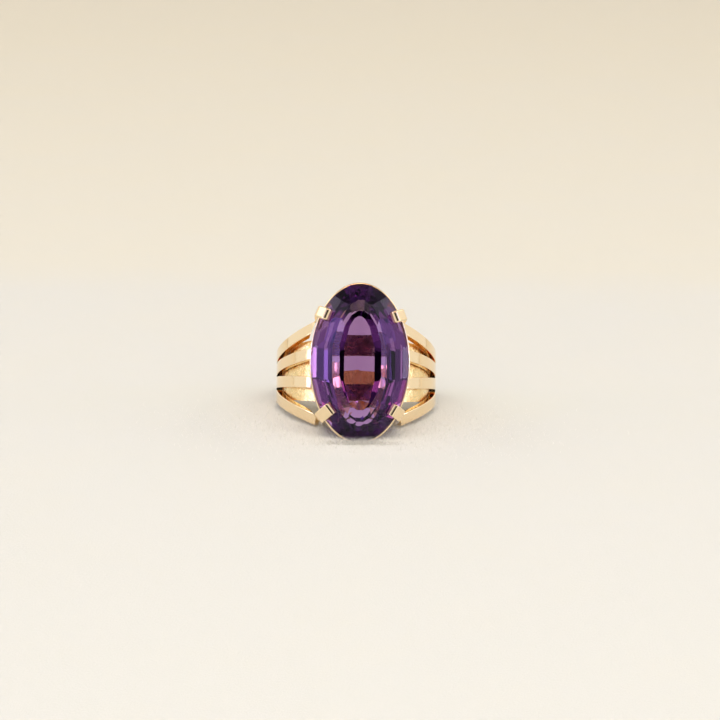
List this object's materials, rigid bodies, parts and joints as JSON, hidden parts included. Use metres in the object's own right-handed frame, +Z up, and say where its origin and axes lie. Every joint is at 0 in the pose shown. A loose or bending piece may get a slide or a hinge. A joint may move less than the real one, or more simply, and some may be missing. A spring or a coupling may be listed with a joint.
{
  "type": "cocktail ring",
  "caption": "Gold cocktail ring: a long oval step-cut amethyst held by four claws on a split shank of four flat strips a side.",
  "frame": {"origin": "centre of the finger hole", "axes": "the ring lies at rest on a table: +Z is up, +X is the ring's right seen from the front, the stone faces -Y and a little upwards; the finger's axis leans back 19.6 degrees from +Z towards +Y"},
  "size_m": [0.02, 0.0279, 0.0186],
  "materials": {
    "amethyst": "polished facets",
    "gold": "high polish with fine wear",
    "gold_strip": "high polish with fine wear",
    "gold_claw": "high polish with fine wear",
    "gold_inner": "part polished, cast texture behind the strips"
  },
  "bodies": {
    "root": {"amethyst": "amethyst", "base_frame": "gold", "bridge": "gold_inner", "claw_lower_left": "gold_claw", "claw_lower_right": "gold_claw", "claw_upper_left": "gold_claw", "claw_upper_right": "gold_claw", "seat_rail": "gold", "shank": "gold", "strip_lower_inner_left": "gold_strip", "strip_lower_inner_right": "gold_strip", "strip_lower_outer_left": "gold_strip", "strip_lower_outer_right": "gold_strip", "strip_upper_inner_left": "gold_strip", "strip_upper_inner_right": "gold_strip", "strip_upper_outer_left": "gold_strip", "strip_upper_outer_right": "gold_strip"}
  },
  "joints": []
}
